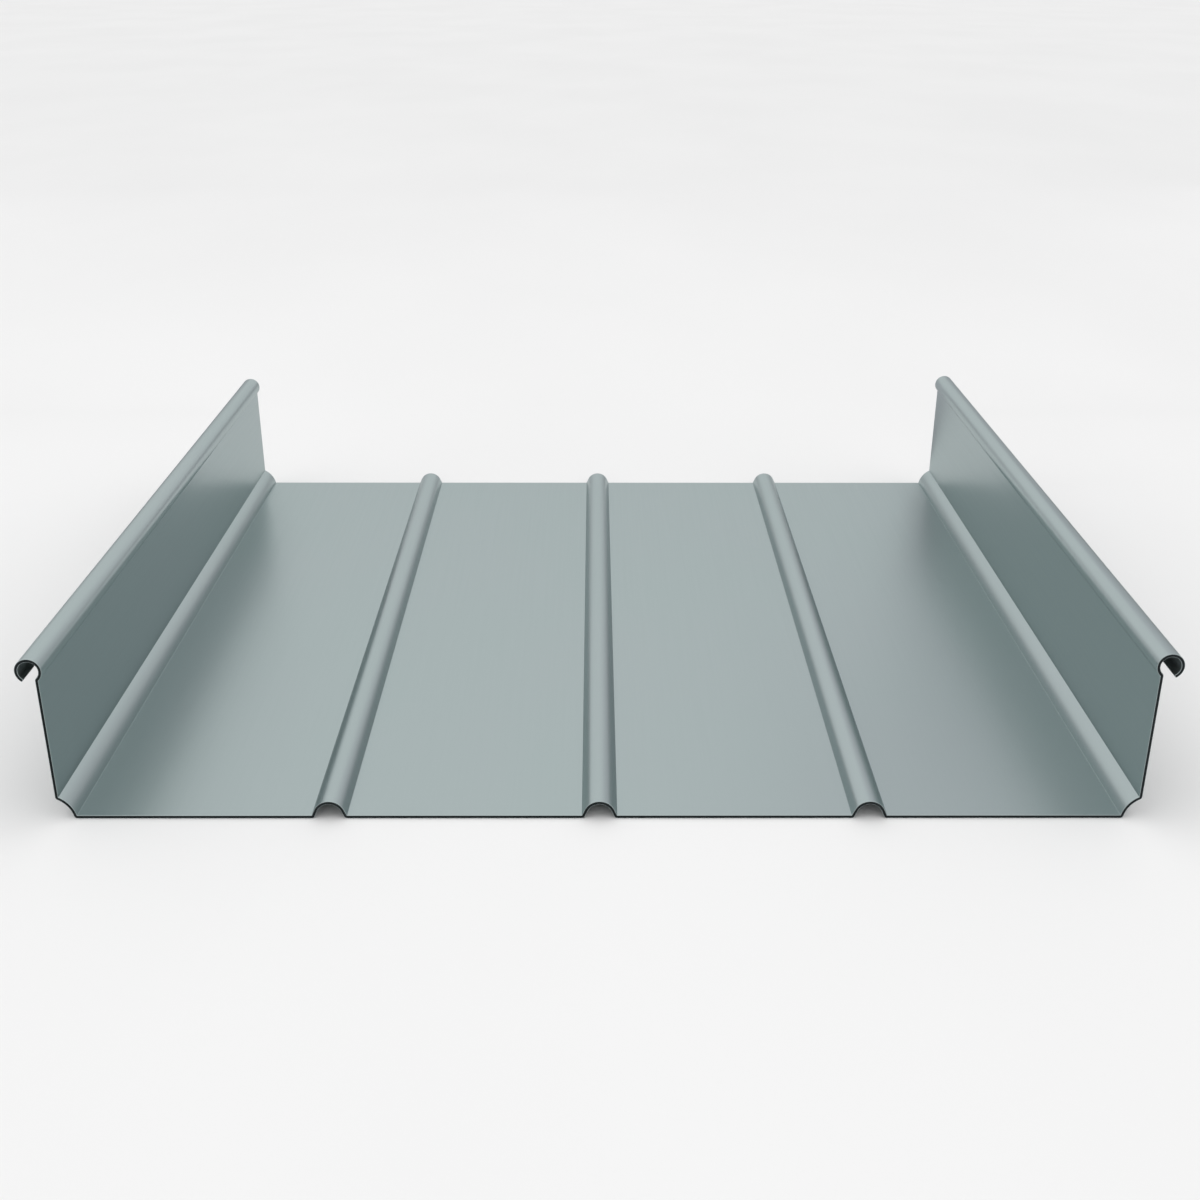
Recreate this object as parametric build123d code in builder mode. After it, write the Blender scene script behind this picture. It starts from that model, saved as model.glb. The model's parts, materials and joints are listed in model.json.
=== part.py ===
"""A short length of standing-seam roof sheet, roll-formed from one strip of aluminium.

The flat pan carries three small round ribs and rises at each side through a cove into an
upright web. Each web ends in a rolled seam: a round bead that curls outwards and stops in a
free lip. The bead on the -X side is the small seam, the one on the +X side the large seam,
which stands a little higher because on a roof it closes over its neighbour's small seam.

X runs across the sheet, Y along it and Z up. The origin is on the underside of the pan, at
the middle of the sheet's length and of its outline across. All sizes are in millimetres.
The section is drawn as one line, the sheet's upper face, which is then given its thickness
downwards, so every bend keeps one thickness round it as bent sheet does.
"""

import os
from math import cos, radians, sin, tan

from build123d import *

# The strip
sheet_length = 380.0
sheet_thickness = 1.2
bend_radius = 0.3  # inside radius of every tight bend, which are crisp

# The ribs in the pan, measured on the upper face
rib_count = 3
rib_pitch = 98.5
rib_width = 12.2
rib_height = 5.8

# The coves, where the pan rises to the feet of the webs
cove_width = 5.8
cove_height = 7.6
cove_radius = 11.0

# The webs: how far they lean outwards, and where they run into the beads
web_lean = 0.75  # degrees away from upright
neck_angle = 47.5  # degrees below the bead centre's level

# The rolled seams: height over all, outside radius, and how far the curl runs past its top
cover_width = 400.0  # from one bead centre to the other
small_seam_height = 64.0
small_bead_radius = 4.8
small_curl_angle = 147.0
large_seam_height = 66.0
large_bead_radius = 4.9
large_curl_angle = 152.0


def side_points(side, seam_height, bead_radius):
    """The corners of the upper face on one side: pan edge, web foot and neck under the bead."""
    neck_x = cover_width / 2 - bead_radius * cos(radians(neck_angle))
    neck_z = seam_height - bead_radius - bead_radius * sin(radians(neck_angle))
    foot_z = sheet_thickness + cove_height
    foot_x = neck_x - (neck_z - foot_z) * tan(radians(web_lean))
    pan_edge = (side * (foot_x - cove_width), sheet_thickness)
    return pan_edge, (side * foot_x, foot_z), (side * neck_x, neck_z)


def draw_seam(side, seam_height, bead_radius, curl_angle):
    """Draw one cove, its web and its bead, outwards from the edge of the pan."""
    pan_edge, web_foot, neck = side_points(side, seam_height, bead_radius)
    top = (side * cover_width / 2, seam_height)
    lip_x = side * (cover_width / 2 + bead_radius * sin(radians(curl_angle)))
    lip_z = seam_height - bead_radius + bead_radius * cos(radians(curl_angle))
    RadiusArc(pan_edge, web_foot, side * cove_radius)
    Line(web_foot, neck)
    ThreePointArc(neck, top, (lip_x, lip_z))


def draw_pan():
    """Draw the pan from its small-seam edge to its large-seam edge, with its ribs."""
    pan_start = side_points(-1, small_seam_height, small_bead_radius)[0]
    pan_end = side_points(1, large_seam_height, large_bead_radius)[0]
    flat_start = pan_start
    for rib in range(rib_count):
        rib_x = (rib - (rib_count - 1) / 2) * rib_pitch
        rib_start = (rib_x - rib_width / 2, sheet_thickness)
        rib_crown = (rib_x, sheet_thickness + rib_height)
        rib_end = (rib_x + rib_width / 2, sheet_thickness)
        Line(flat_start, rib_start)
        ThreePointArc(rib_start, rib_crown, rib_end)
        flat_start = rib_end
    Line(flat_start, pan_end)


with BuildPart() as standing_seam_sheet:
    with BuildSketch(Plane.XZ):
        with BuildLine() as upper_face:
            draw_pan()
            draw_seam(-1, small_seam_height, small_bead_radius, small_curl_angle)
            draw_seam(1, large_seam_height, large_bead_radius, large_curl_angle)
            fillet(upper_face.vertices(), bend_radius)
            offset(amount=sheet_thickness, side=Side.RIGHT)
        make_face()
    extrude(amount=sheet_length / 2, both=True)

standing_seam_sheet.part.label = "standing_seam_sheet"

os.makedirs("parts", exist_ok=True)
export_step(standing_seam_sheet.part, "parts/standing_seam_sheet.step")
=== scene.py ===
# %% [markdown]
# # A standing-seam roof sheet
#
# The real object is one strip of aluminium, 1.2 mm thick, that a roll former has bent lengthwise:
# a flat pan with three small round ribs, a cove at each side, an upright web, and on top of each
# web a bead that curls outwards. Nothing is joined on, so the model is one piece too.
#
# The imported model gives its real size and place. It is loaded first and is never moved: the sheet
# that is made here stands exactly where it stands.

import json
from cmath import phase, rect
from collections import namedtuple
from math import asin, ceil, cos, pi, radians, sin, sqrt, tan

import bmesh
import bpy
from mathutils import Matrix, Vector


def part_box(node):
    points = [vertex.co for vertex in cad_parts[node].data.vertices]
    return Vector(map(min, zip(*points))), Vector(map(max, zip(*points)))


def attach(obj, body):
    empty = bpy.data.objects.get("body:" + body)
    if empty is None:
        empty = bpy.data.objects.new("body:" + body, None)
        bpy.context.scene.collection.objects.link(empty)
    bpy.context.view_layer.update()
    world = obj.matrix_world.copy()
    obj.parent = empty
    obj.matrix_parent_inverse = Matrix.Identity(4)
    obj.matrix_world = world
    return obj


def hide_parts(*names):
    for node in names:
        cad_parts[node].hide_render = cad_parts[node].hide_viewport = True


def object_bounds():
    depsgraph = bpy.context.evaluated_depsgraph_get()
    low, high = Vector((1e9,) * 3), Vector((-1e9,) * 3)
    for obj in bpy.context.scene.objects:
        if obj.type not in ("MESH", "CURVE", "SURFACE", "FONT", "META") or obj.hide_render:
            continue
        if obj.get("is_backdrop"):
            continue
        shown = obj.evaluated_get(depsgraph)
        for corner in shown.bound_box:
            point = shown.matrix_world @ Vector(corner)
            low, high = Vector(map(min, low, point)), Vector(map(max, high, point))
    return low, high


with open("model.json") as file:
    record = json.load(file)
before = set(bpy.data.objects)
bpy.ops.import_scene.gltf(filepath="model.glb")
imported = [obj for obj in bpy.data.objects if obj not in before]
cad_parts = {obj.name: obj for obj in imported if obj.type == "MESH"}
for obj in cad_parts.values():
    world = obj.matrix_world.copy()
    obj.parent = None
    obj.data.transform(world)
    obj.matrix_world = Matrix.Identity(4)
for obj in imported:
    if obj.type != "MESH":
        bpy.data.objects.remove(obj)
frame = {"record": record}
cad_low, cad_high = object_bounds()
sheet_low, sheet_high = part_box("standing_seam_sheet")
print("sheet, mm:", [round(1000 * side, 2) for side in sheet_high - sheet_low])

# %% [markdown]
# ## The sizes of the profile
#
# A drawing of such a sheet gives the cover width from bead to bead, the height of each seam, the
# gauge of the strip and the pitch of its ribs. Some of these can be read from the loaded model,
# since its mounts lie on the bead centres. The others are named here, in metres. They are sizes of
# the upper face, and the strip's thickness is put under that face later. Only the long bends of
# the coves, ribs and beads are soft. The creases between them are crisp, so their rods are thin.

# %% Sizes
mounts = {mount["name"]: mount for mount in frame["record"]["mounts"]}
gauge = 0.0012
bend_radius = 0.0001

rib_places = (-0.0985, 0.0, 0.0985)
rib_width = 0.0129
rib_height = 0.0058
rib_steepness = radians(66)

cove_width = 0.0058
cove_height = 0.0076
cove_radius = 0.011

web_lean = radians(0.75)
neck_angle = radians(47.5)
small_curl = radians(147)
large_curl = radians(152)

channels = ("small_seam_channel", "large_seam_channel")
bead_places = [mounts[name]["pos_m"][0] for name in channels]
print("cover width, mm:", round(1000 * (bead_places[1] - bead_places[0]), 1))

# %% [markdown]
# ## Bends as rods
#
# The section is all straight runs and round bends. It could be typed in as a long list of points,
# but then no bend would be truly round, and no size could be changed. A roll former suggests a
# better way: think of a rod inside each bend, with the strip led round the rods like a belt round
# pulleys. A rod's radius is positive where the strip turns left on its way from the small seam to
# the large one, and negative where it turns right.
#
# A point of the section is one complex number, x across and z up, because then turning is
# multiplying, and a length is abs(). The belt leaves one rod and meets the next along the line that
# touches both. One formula gives that line's heading, for open belts and crossed ones, and also
# where two bends meet with no straight run between them.

# %% The belt round two rods
Rod = namedtuple("Rod", "centre radius")


def heading_between(rod, next_rod):
    """The direction of the straight run that touches one rod and then the next."""
    gap = next_rod.centre - rod.centre
    lean = (rod.radius - next_rod.radius) / abs(gap)
    return phase(gap) + asin(max(-1.0, min(1.0, lean)))


def point_on(rod, heading):
    """Where the strip lies on a rod while it runs in that direction."""
    return rod.centre - 1j * rod.radius * rect(1, heading)


def seat_rod(start, direction, centre, reach):
    """The first point of a line that lies as near as that to the centre of a round bend."""
    seen_along = (centre - start) / direction
    return start + direction * (seen_along.real - sqrt(reach**2 - seen_along.imag**2))


level_belt = heading_between(Rod(0, 1), Rod(10, 1))
print("heading from a rod to its equal beside it:", level_belt)

# %% [markdown]
# ## The rods of a seam
#
# Each side has five bends: a tight one where the pan turns up, the round cove, a tight one at the
# foot of the web, a tight one at the neck, and the bead itself. A tight bend always lies between a
# flat and a round. So the centre of its rod is where a line beside the flat comes as near to the
# round bend as the two radii together. Only the right-hand side is worked out. The left-hand side
# is its mirror image, with its own bead.


# %% Rods of the two seams
def bead_rod(mount_name):
    """The rod of a bead, on the right-hand side, from the channel that the bead forms."""
    x, y, z = mounts[mount_name]["pos_m"]
    return Rod(complex(abs(x), z), -(mounts[mount_name]["dims"]["r_mm"] / 1000 + gauge))


def seam_rods(bead):
    """The rods of a right-hand seam, from the edge of the pan outwards."""
    up_web = rect(1, pi / 2 - web_lean)
    neck = bead.centre + rect(-bead.radius, neck_angle - pi)
    foot = neck - up_web * (neck.imag - gauge - cove_height) / up_web.imag
    chord = complex(cove_width, cove_height)
    chord_to_centre = sqrt(cove_radius**2 - abs(chord / 2) ** 2)
    cove = Rod(foot - chord / 2 - 1j * chord / abs(chord) * chord_to_centre, -cove_radius)

    beside_foot = foot + 1j * up_web * bend_radius
    above_pan = complex(0, gauge + bend_radius)
    neck_bend = seat_rod(beside_foot, up_web, bead.centre, bend_radius - bead.radius)
    foot_bend = seat_rod(neck_bend, -up_web, cove.centre, bend_radius + cove_radius)
    edge_bend = seat_rod(above_pan, 1, cove.centre, bend_radius + cove_radius)
    return [
        Rod(edge_bend, bend_radius),
        cove,
        Rod(foot_bend, bend_radius),
        Rod(neck_bend, bend_radius),
        bead,
    ]


def mirrored(rods):
    """The same bends on the other side, met in the opposite order."""
    return [Rod(-rod.centre.conjugate(), rod.radius) for rod in reversed(rods)]


small_seam = mirrored(seam_rods(bead_rod("small_seam_channel")))
large_seam = seam_rods(bead_rod("large_seam_channel"))
for rod in large_seam:
    print("rod at", [round(1000 * value, 2) for value in (rod.centre.real, rod.centre.imag)])

# %% [markdown]
# ## The rods of a rib
#
# A rib stiffens the wide pan and keeps it from drumming. It is a round crown between two flat
# flanks that lean in, with a tight bend where each leaves the pan. Only the three rods need a
# place, since the belt makes the flanks by itself. The crown's radius is the one at which a
# flank of that steepness, which starts at half the width, just touches the crown at its height.
# A foot rod lies in the corner of pan and flank, so it stands off by its tangent length.


# %% Rods of the ribs
def rib_rods(x):
    """The rods of one rib: tight bend, crown, tight bend."""
    flank_reach = rib_width / 2 * sin(rib_steepness) - rib_height * cos(rib_steepness)
    crown_radius = flank_reach / (1 - cos(rib_steepness))
    crown = Rod(complex(x, gauge + rib_height - crown_radius), -crown_radius)
    foot_place = complex(rib_width / 2 + bend_radius * tan(rib_steepness / 2), 0)
    above_pan = complex(x, gauge + bend_radius)
    return [
        Rod(above_pan - foot_place, bend_radius),
        crown,
        Rod(above_pan + foot_place, bend_radius),
    ]


ribs = [rod for x in rib_places for rod in rib_rods(x)]
section_rods = small_seam + ribs + large_seam
print("radius of a rib's crown, mm:", round(-1000 * ribs[1].radius, 2))
print("bends in the section:", len(section_rods))

# %% [markdown]
# ## Leading the strip round the rods
#
# The line of the section starts as one vertex, at the free lip of the small seam. At each rod,
# spin turns the last vertex round the rod's centre and leaves edges behind it, and on each straight
# run the vertex is extruded onwards. Long flats are cut into short runs, so that the faces stay
# near enough to square for smooth shading.

# %% Spin and extrude one vertex
bend_step = radians(5)
run_step = 0.009
shortest_run = gauge / 100


def bend_on(bm, tip, rod, turn):
    """Carry the end of the strip round a rod."""
    spun = bmesh.ops.spin(
        bm,
        geom=[tip],
        cent=(rod.centre.real, tip.co.y, rod.centre.imag),
        axis=(0, -1, 0),
        angle=turn,
        steps=max(2, ceil(abs(turn) / bend_step)),
    )
    return spun["geom_last"][0]


def run_on(bm, tip, distance, heading):
    """Carry the end of the strip straight on."""
    steps = ceil(distance / run_step)
    for step in range(steps):
        tip = bmesh.ops.extrude_vert_indiv(bm, verts=[tip])["verts"][0]
        move = rect(distance / steps, heading)
        bmesh.ops.translate(bm, verts=[tip], vec=(move.real, 0, move.imag))
    return tip


def lead_strip(bm, rods, heading, last_heading):
    """Draw the whole section, from the lip on the first rod to the lip on the last."""
    start = point_on(rods[0], heading)
    tip = bm.verts.new((start.real, sheet_low.y, start.imag))
    for rod, next_rod in zip(rods, rods[1:] + [None]):
        leaving = heading_between(rod, next_rod) if next_rod else last_heading
        tip = bend_on(bm, tip, rod, leaving - heading)
        heading = leaving
        if next_rod:
            distance = abs(point_on(next_rod, heading) - point_on(rod, heading))
            if distance > shortest_run:
                tip = run_on(bm, tip, distance, heading)


strip = bmesh.new()
lead_strip(strip, section_rods, small_curl, -large_curl)
strip_width = sum(edge.calc_length() for edge in strip.edges)
print("vertices in the section:", len(strip.verts))
print("width of the flat strip, mm:", round(1000 * strip_width, 1))

# %% [markdown]
# ## Rolling out the length
#
# The same section runs from end to end, as it does on any roll-formed sheet. So every edge of it is
# extruded along Y in one go, and the long edges are then cut into stations. Faces have to point up,
# out of the trough, because the thickness goes to their other side.

# %% Extrude the section along the sheet
station_cuts = 47
sheet_length = sheet_high.y - sheet_low.y

rolled = bmesh.ops.extrude_edge_only(strip, edges=strip.edges[:])
far_vertices = [item for item in rolled["geom"] if isinstance(item, bmesh.types.BMVert)]
bmesh.ops.translate(strip, verts=far_vertices, vec=(0, sheet_length, 0))
long_edges = [edge for edge in strip.edges if edge.calc_length() > sheet_length / 2]
bmesh.ops.subdivide_edges(strip, edges=long_edges, cuts=station_cuts, use_grid_fill=True)
strip.normal_update()
if sum(face.normal.z * face.calc_area() for face in strip.faces) < 0:
    bmesh.ops.reverse_faces(strip, faces=strip.faces[:])
print("faces of the upper side:", len(strip.faces))

# %% [markdown]
# ## One gauge all round
#
# Bent sheet keeps its thickness in every bend, so the lower face is an even offset of the upper
# one. The Solidify modifier makes it, and it also gives the back of the sheet and its cut edges
# material slots of their own. A narrow Bevel then takes the sharpness off the cut edges, as shears
# and handling do, and catches the light along them.


# %% Turn the drawing into a sheet of metal
def mesh_object(name, bm):
    """Put a finished bmesh into the scene under a name."""
    mesh = bpy.data.meshes.new(name)
    bm.to_mesh(mesh)
    bm.free()
    made = bpy.data.objects.new(name, mesh)
    bpy.context.scene.collection.objects.link(made)
    return made


arris_width = 0.00014
sharpest_smooth_angle = radians(60)

for face in strip.faces:
    face.smooth = True
roof_sheet = mesh_object("roof_sheet", strip)

wall = roof_sheet.modifiers.new("gauge", "SOLIDIFY")
wall.thickness = gauge
wall.offset = -1
wall.use_even_offset = True
wall.material_offset = 1
wall.material_offset_rim = 2

arris = roof_sheet.modifiers.new("arris", "BEVEL")
arris.width = arris_width
arris.segments = 2
arris.limit_method = "ANGLE"
arris.angle_limit = sharpest_smooth_angle
arris.harden_normals = True
arris.material = 0
print("finished by:", [step.name for step in roof_sheet.modifiers])

# %% [markdown]
# ## Marks that run with the sheet
#
# Mill-finish aluminium is never one flat tone. The rolls leave hair-fine lines along the strip, and
# storing and handling leave pale clouds. Both could be a picture wrapped on the sheet, but a noise
# needs no picture and stays sharp at any distance. It reads Object coordinates, which are metres
# here, and a Mapping node stretches it: a small factor along Y draws each grain out into a line.


# %% Stretched noise, and a range for it
usual_noise = (0.3, 0.7)


def stretched_noise(nodes, links, stretch, scale, detail):
    """Noise on Object coordinates, drawn out where the stretch is small."""
    place = nodes.new("ShaderNodeTexCoord")
    mapping = nodes.new("ShaderNodeMapping")
    mapping.inputs["Scale"].default_value = stretch
    texture = nodes.new("ShaderNodeTexNoise")
    texture.inputs["Scale"].default_value = scale
    texture.inputs["Detail"].default_value = detail
    links.new(place.outputs["Object"], mapping.inputs["Vector"])
    links.new(mapping.outputs["Vector"], texture.inputs["Vector"])
    return texture.outputs["Fac"]


def spread(nodes, links, value, low, high):
    """Bring the middle of a noise's values into a range."""
    fit = nodes.new("ShaderNodeMapRange")
    fit.inputs["From Min"].default_value, fit.inputs["From Max"].default_value = usual_noise
    fit.inputs["To Min"].default_value, fit.inputs["To Max"].default_value = low, high
    links.new(value, fit.inputs["Value"])
    return fit.outputs["Result"]


line_stretch = (1, 0.01, 1)
lines_per_metre = 1400
print("a rolling line is about this long, mm:", round(1000 / (lines_per_metre * line_stretch[1]), 1))

# %% [markdown]
# ## Clouds of two close colours
#
# A colour ramp between two tones that hardly differ gives the clouds. The same helper also serves
# for the floor, which is why it takes the colours and leaves the shader alone.


# %% A cloudy colour
cloud_edges = (0.35, 0.65)


def cloudy_colour(nodes, links, scale, one_tone, other_tone):
    """Two close tones that change into each other in soft clouds."""
    clouds = stretched_noise(nodes, links, (1, 0.5, 1), scale, 3)
    colours = nodes.new("ShaderNodeValToRGB")
    stops = colours.color_ramp.elements
    for stop, place, tone in zip(stops, cloud_edges, (one_tone, other_tone)):
        stop.position = place
        stop.color = (*tone, 1)
    links.new(clouds, colours.inputs["Fac"])
    return colours.outputs["Color"]


clouds_per_metre = 14
print("a cloud is about this wide, mm:", round(1000 / clouds_per_metre))

# %% [markdown]
# ## Rolled metal
#
# Metal reflects in its own colour and has no other, so Metallic is 1 and the Base Color is how much
# light comes back head on. Any smooth metal turns towards white where it is seen at a low angle,
# and a roof sheet mostly is. Mill-finish aluminium carries a thin dull oxide that holds this back.
# Specular Tint is the shader's colour for that low angle, so a value below white keeps the pan
# even from its near end to its far end. It is the same everywhere, and is set on the shader itself.
#
# The fine lines do two things: they change the roughness a little, and a very shallow bump tilts
# the surface across them, so that reflections look combed along the sheet.

# %% A function for rolled metal
low_angle_colour = (0.78, 0.81, 0.81, 1)
line_depth = 0.00002
line_strength = 0.04


def rolled_metal(name, one_tone, other_tone, roughness):
    """Rolled sheet metal with clouds and with fine lines along Y."""
    material = bpy.data.materials.new(name)
    material.use_nodes = True
    nodes, links = material.node_tree.nodes, material.node_tree.links
    shader = nodes["Principled BSDF"]
    shader.inputs["Metallic"].default_value = 1.0
    shader.inputs["Specular Tint"].default_value = low_angle_colour
    colour = cloudy_colour(nodes, links, clouds_per_metre, one_tone, other_tone)
    links.new(colour, shader.inputs["Base Color"])

    lines = stretched_noise(nodes, links, line_stretch, lines_per_metre, 2)
    links.new(spread(nodes, links, lines, *roughness), shader.inputs["Roughness"])
    bump = nodes.new("ShaderNodeBump")
    bump.inputs["Strength"].default_value = line_strength
    bump.inputs["Distance"].default_value = line_depth
    links.new(lines, bump.inputs["Height"])
    links.new(bump.outputs["Normal"], shader.inputs["Normal"])
    return material


satin_tones = (0.4, 0.467, 0.467), (0.405, 0.465, 0.469)
satin_roughness = (0.3, 0.34)
satin_face = rolled_metal("satin_face", *satin_tones, satin_roughness)
print("made:", satin_face.name)

# %% [markdown]
# ## Three finishes on one sheet
#
# The upper face is satin, with a cool grey-green cast. The back, which faces the roof deck, is
# duller and darker, and the darker colour is painted shade for the insides of the beads and ribs.
# The ends and lips are sheared, and their nearly black colour is painted shade on the cut faces,
# beside the satin face. The Bevel's narrow faces take the satin finish again and catch the light
# along the edges.

# %% Make and assign the finishes
# The back's darker tones are painted shade for the insides of the beads and ribs.
painted_shade_back_tones = (0.24, 0.275, 0.275), (0.26, 0.285, 0.29)
back_roughness = (0.4, 0.5)
# The near-black tones of the cut edges are painted shade.
painted_shade_edge_tones = (0.016, 0.02, 0.021), (0.024, 0.028, 0.03)
edge_roughness = (0.5, 0.6)

dull_back_painted_shade = rolled_metal("dull_back_painted_shade", *painted_shade_back_tones, back_roughness)
painted_shade_edge = rolled_metal("painted_shade_edge", *painted_shade_edge_tones, edge_roughness)
for material in (satin_face, dull_back_painted_shade, painted_shade_edge):
    roof_sheet.data.materials.append(material)

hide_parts("standing_seam_sheet")
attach(roof_sheet, "root")
print("finishes:", [material.name for material in roof_sheet.data.materials])

# %% [markdown]
# ## The floor
#
# The sheet stands on a plain pale floor, which is only part of the set. It could be a bent
# backdrop, but this camera looks down, so a wide flat floor fills the picture by itself. It lies
# just under the sheet, because two faces in one plane would flicker. Its paint is matt, and a faint
# cloudiness keeps it from looking like empty paper.

# %% Floor
floor_reach = 12.0
floor_drop = 0.0001
floor_tones = (0.83, 0.83, 0.83), (0.85, 0.85, 0.85)
floor_roughness = 0.8
floor_clouds_per_metre = 3

floor_mesh = bmesh.new()
bmesh.ops.create_grid(floor_mesh, x_segments=1, y_segments=1, size=floor_reach)
bmesh.ops.translate(floor_mesh, verts=floor_mesh.verts[:], vec=(0, 0, -floor_drop))
floor = mesh_object("floor", floor_mesh)

floor_paint = bpy.data.materials.new("floor_paint")
floor_paint.use_nodes = True
floor_nodes, floor_links = floor_paint.node_tree.nodes, floor_paint.node_tree.links
paint = floor_nodes["Principled BSDF"]
paint.inputs["Roughness"].default_value = floor_roughness
paint_colour = cloudy_colour(floor_nodes, floor_links, floor_clouds_per_metre, *floor_tones)
floor_links.new(paint_colour, paint.inputs["Base Color"])
floor.data.materials.append(floor_paint)
floor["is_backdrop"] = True
print("floor at, mm:", -1000 * floor_drop)

# %% [markdown]
# ## Plain light
#
# A metal shows its room more than its lamps, so the room comes first. The world is plain white at
# a strength of 1, which any mirror in it shows as white, no more. One large softbox above
# adds the soft shadow that sets the sheet on its floor. A small strong lamp would do that too, but
# it would draw hard sparks along the beads, which satin metal in soft light doesn't have.

# %% World and softbox
sky_strength = 1.0
softbox_side = 1.6
softbox_power = 3.0
softbox_place = (-0.3, -0.2, 1.6)

world = bpy.data.worlds.new("studio")
bpy.context.scene.world = world
world.use_nodes = True
sky = world.node_tree.nodes["Background"]
sky.inputs["Color"].default_value = (1, 1, 1, 1)
sky.inputs["Strength"].default_value = sky_strength

softbox = bpy.data.lights.new("softbox", "AREA")
softbox.shape = "SQUARE"
softbox.size = softbox_side
softbox.energy = softbox_power
softbox_object = bpy.data.objects.new("softbox", softbox)
softbox_object.location = softbox_place
bpy.context.scene.collection.objects.link(softbox_object)
print("softbox, W:", softbox.energy)

# %% [markdown]
# ## Grey cards for the metal
#
# In an all-white room a metal sheet looks like grey paper: the sides of its ribs, coves and beads
# are as pale as their tops. A photographer stands grey cards just outside the picture, and the
# metal mirrors them as soft darker bands that show its shape. Lamps can't do this, since a lamp
# only adds light.
#
# Each card is a flat mesh with an Emission shader, so it looks equally grey from anywhere. Its
# tone runs evenly from its foot to its top, because a real card is lit less near the floor. The
# darks of satin metal have a slight violet cast, and so do the cards. Only reflections see them:
# they stay out of the picture, throw no shadow and leave the floor's colour alone.

# %% A function for a grey card
Card = namedtuple("Card", "name foot width height lean tones")
card_colour = (1.0, 0.98, 1.02, 1)


def card_glow(name, height, tones):
    """A dim, even light whose tone changes from the foot of a card to its top."""
    material = bpy.data.materials.new(name)
    material.use_nodes = True
    nodes, links = material.node_tree.nodes, material.node_tree.links
    nodes.clear()
    place = nodes.new("ShaderNodeTexCoord")
    split = nodes.new("ShaderNodeSeparateXYZ")
    tone = nodes.new("ShaderNodeMapRange")
    tone.inputs["From Max"].default_value = height
    tone.inputs["To Min"].default_value, tone.inputs["To Max"].default_value = tones
    glow = nodes.new("ShaderNodeEmission")
    glow.inputs["Color"].default_value = card_colour
    surface = nodes.new("ShaderNodeOutputMaterial")
    links.new(place.outputs["Object"], split.inputs[0])
    links.new(split.outputs["Z"], tone.inputs["Value"])
    links.new(tone.outputs["Result"], glow.inputs["Strength"])
    links.new(glow.outputs["Emission"], surface.inputs["Surface"])
    return material


def stand_card(card):
    """Stand a card across Y, with its lower left corner at its foot."""
    half_side = 0.5  # of a card that is still one metre square
    bm = bmesh.new()
    bmesh.ops.create_grid(bm, x_segments=1, y_segments=1, size=half_side)
    bmesh.ops.translate(bm, verts=bm.verts[:], vec=(half_side, half_side, 0))
    bmesh.ops.scale(bm, verts=bm.verts[:], vec=(card.width, card.height, 1))
    upright = Matrix.Rotation(radians(90), 4, "X")
    leaning = Matrix.Shear("XY", 4, (-card.lean, 0))
    bmesh.ops.transform(bm, verts=bm.verts[:], matrix=leaning @ upright)
    bmesh.ops.translate(bm, verts=bm.verts[:], vec=(*card.foot, 0))
    stood = mesh_object(card.name, bm)
    stood.data.materials.append(card_glow(card.name + "_glow", card.height, card.tones))
    stood.visible_camera = False
    stood.visible_diffuse = False
    stood.visible_transmission = False
    stood.visible_shadow = False
    stood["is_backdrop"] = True
    return stood


# %% [markdown]
# ## Where the cards stand
#
# Two low cards stand beside the sheet, a little behind it. What leans outwards mirrors them: the
# flanks of the ribs and the coves. A third low one, six metres wide, stands far behind. Whatever
# faces just above the floor mirrors it, such as the sides of the beads and the feet of the ribs.
#
# The last two shape the pan. A small one behind the far right corner, lower than the bead, gives
# the right-hand bay its slanting darker zone near that corner, and a tall pale one far behind
# carries that zone on towards the camera. The lean is how far a card's side moves to the left for
# each metre of height, so that the edge that the pan mirrors stays on one straight line.

# %% Stand the grey cards
grey_cards = (
    Card("low_card_left", (-0.84, 0.35), 0.6, 0.11, 0.0, (0.1, 0.7)),
    Card("low_card_right", (0.2375, 0.35), 0.6, 0.11, 0.2, (0.1, 0.7)),
    Card("low_card_behind", (-3.0, 1.45), 6.0, 0.2, 0.0, (0.4, 0.55)),
    Card("corner_card", (0.1985, 0.196), 0.12, 0.066, 0.29, (0.45, 0.7)),
    Card("far_card", (0.85, 1.5), 2.4, 1.3, 0.55, (0.5, 0.85)),
)
for card in grey_cards:
    stood = stand_card(card)
    print(stood.name, [round(side, 3) for side in stood.dimensions])

# %% [markdown]
# ## The camera
#
# The photograph was taken from just in front of the sheet, on its middle line and at hand height,
# looking down by 23 degrees. Place and lens were found by fitting the corners, ribs and beads of
# both ends to the picture, which also says that the camera was turned and rolled by a fraction of
# a degree. The turns are put together as a photographer makes them: roll, then tilt, then turn.

# %% Camera
camera_place = (-0.00197, -0.67497, 0.29175)
camera_turn = radians(-0.236)
camera_tilt = radians(90 - 22.941)
camera_roll = radians(0.097)
lens_length = 46.05
film_width = 36
nearest_seen = 0.01

camera = bpy.data.cameras.new("camera")
camera.lens = lens_length
camera.sensor_width = film_width
camera.clip_start = nearest_seen
camera_object = bpy.data.objects.new("camera", camera)
camera_object.matrix_world = (
    Matrix.Translation(camera_place)
    @ Matrix.Rotation(camera_turn, 4, "Z")
    @ Matrix.Rotation(camera_tilt, 4, "X")
    @ Matrix.Rotation(camera_roll, 4, "Z")
)
bpy.context.scene.collection.objects.link(camera_object)
bpy.context.scene.camera = camera_object
bpy.context.scene.view_settings.view_transform = "Standard"
print("camera's field of view, degrees:", round(camera.angle * 180 / pi, 1))

# %% [markdown]
# ## A last look at the sizes
#
# The visual sheet has to fill the imported model's box and stay inside it. The imported model is made
# of flat facets, whose corners lie on its round bends, so finer facets can reach a few thousandths
# of a millimetre further. How far the visual reaches past that box on each side is printed.

# %% Print how far past the box
low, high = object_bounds()
past_low = [round(1000 * float(value), 3) for value in cad_low - low]
past_high = [round(1000 * float(value), 3) for value in high - cad_high]
print("outside the CAD box by, mm:", past_low, past_high)
